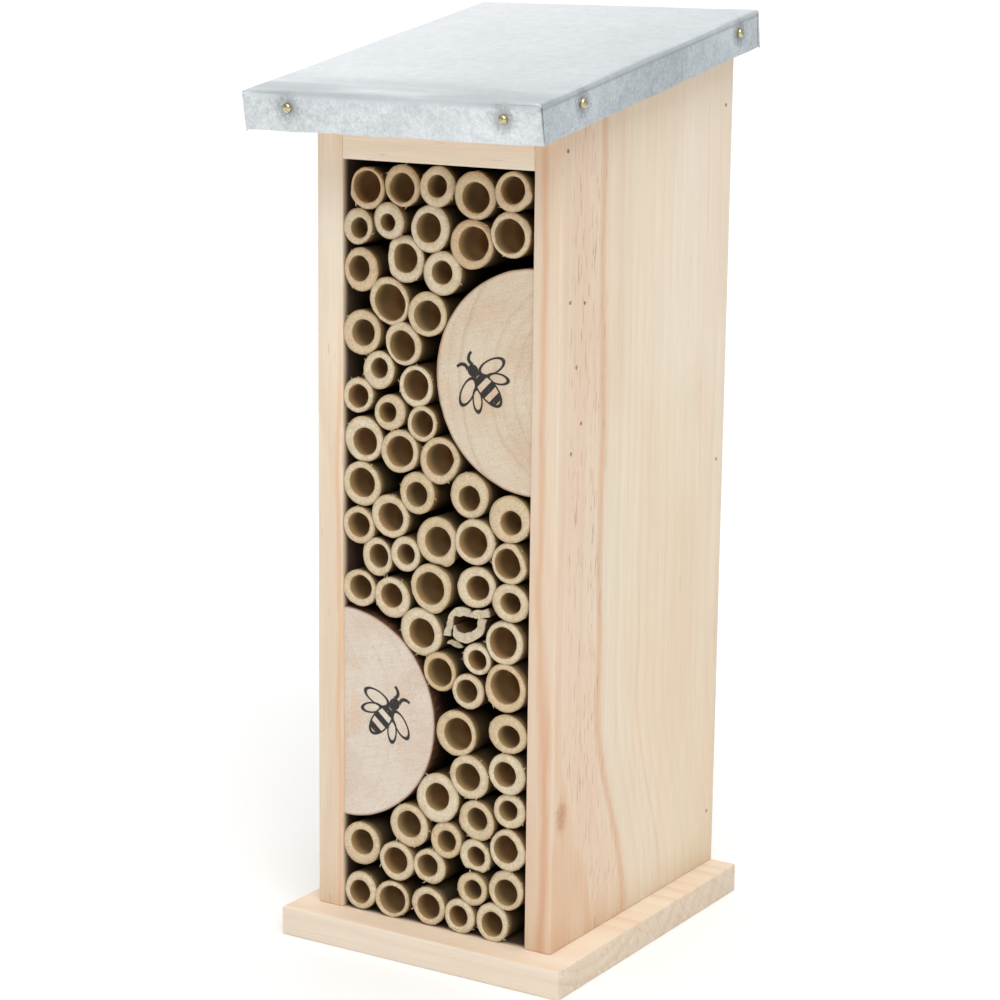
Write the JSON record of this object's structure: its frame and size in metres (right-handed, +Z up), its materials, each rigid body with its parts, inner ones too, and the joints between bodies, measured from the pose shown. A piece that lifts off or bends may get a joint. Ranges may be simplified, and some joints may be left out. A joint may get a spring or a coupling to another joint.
{
  "type": "insect hotel",
  "caption": "Narrow pine box on a base board under a sloping metal-clad roof, its open front packed with bamboo canes and two half logs.",
  "frame": {"origin": "centre of the bounding box at the underside of the base board, where the object stands", "axes": "+Z up, the open front faces -Y, +X is to the right as seen from the front"},
  "size_m": [0.1124, 0.1443, 0.313],
  "materials": {
    "pine": "planed, unfinished",
    "base_pine": "planed, unfinished",
    "galvanised": "matt spangled zinc",
    "brass": "polished",
    "steel": "plain wire",
    "log_wood": "sawn face, bark outside",
    "cane": "raw bamboo"
  },
  "bodies": {
    "root": {"base_board": "base_pine", "left_side_board": "pine", "right_side_board": "pine", "back_panel": "pine", "top_rail": "pine", "roof_board": "pine", "roof_sheet": "galvanised", "front_roof_nails": "brass", "left_roof_nails": "brass", "right_roof_nails": "brass", "rear_roof_nails": "brass", "roof_brads": "steel", "left_side_brads": "steel", "right_side_brads": "steel", "base_screws": "steel", "upper_half_log": "log_wood", "lower_half_log": "log_wood", "upper_log_brads": "steel", "lower_log_brads": "steel", "split_cane": "cane", "cane_pair_01": "cane", "cane_pair_02": "cane", "cane_pair_03": "cane", "cane_pair_04": "cane", "cane_pair_05": "cane", "cane_pair_06": "cane", "cane_pair_07": "cane", "cane_pair_08": "cane", "cane_pair_09": "cane", "cane_pair_10": "cane", "cane_pair_11": "cane", "cane_pair_12": "cane", "cane_pair_13": "cane", "cane_pair_14": "cane", "cane_pair_15": "cane", "cane_pair_16": "cane", "cane_pair_17": "cane", "cane_pair_18": "cane", "cane_pair_19": "cane", "cane_pair_20": "cane", "cane_pair_21": "cane", "cane_pair_22": "cane", "cane_pair_23": "cane", "cane_pair_24": "cane", "cane_pair_25": "cane", "cane_pair_26": "cane", "cane_pair_27": "cane", "cane_pair_28": "cane", "cane_pair_29": "cane", "cane_pair_30": "cane", "cane_pair_31": "cane", "cane_pair_32": "cane", "cane_pair_33": "cane", "cane_pair_34": "cane"}
  },
  "joints": []
}
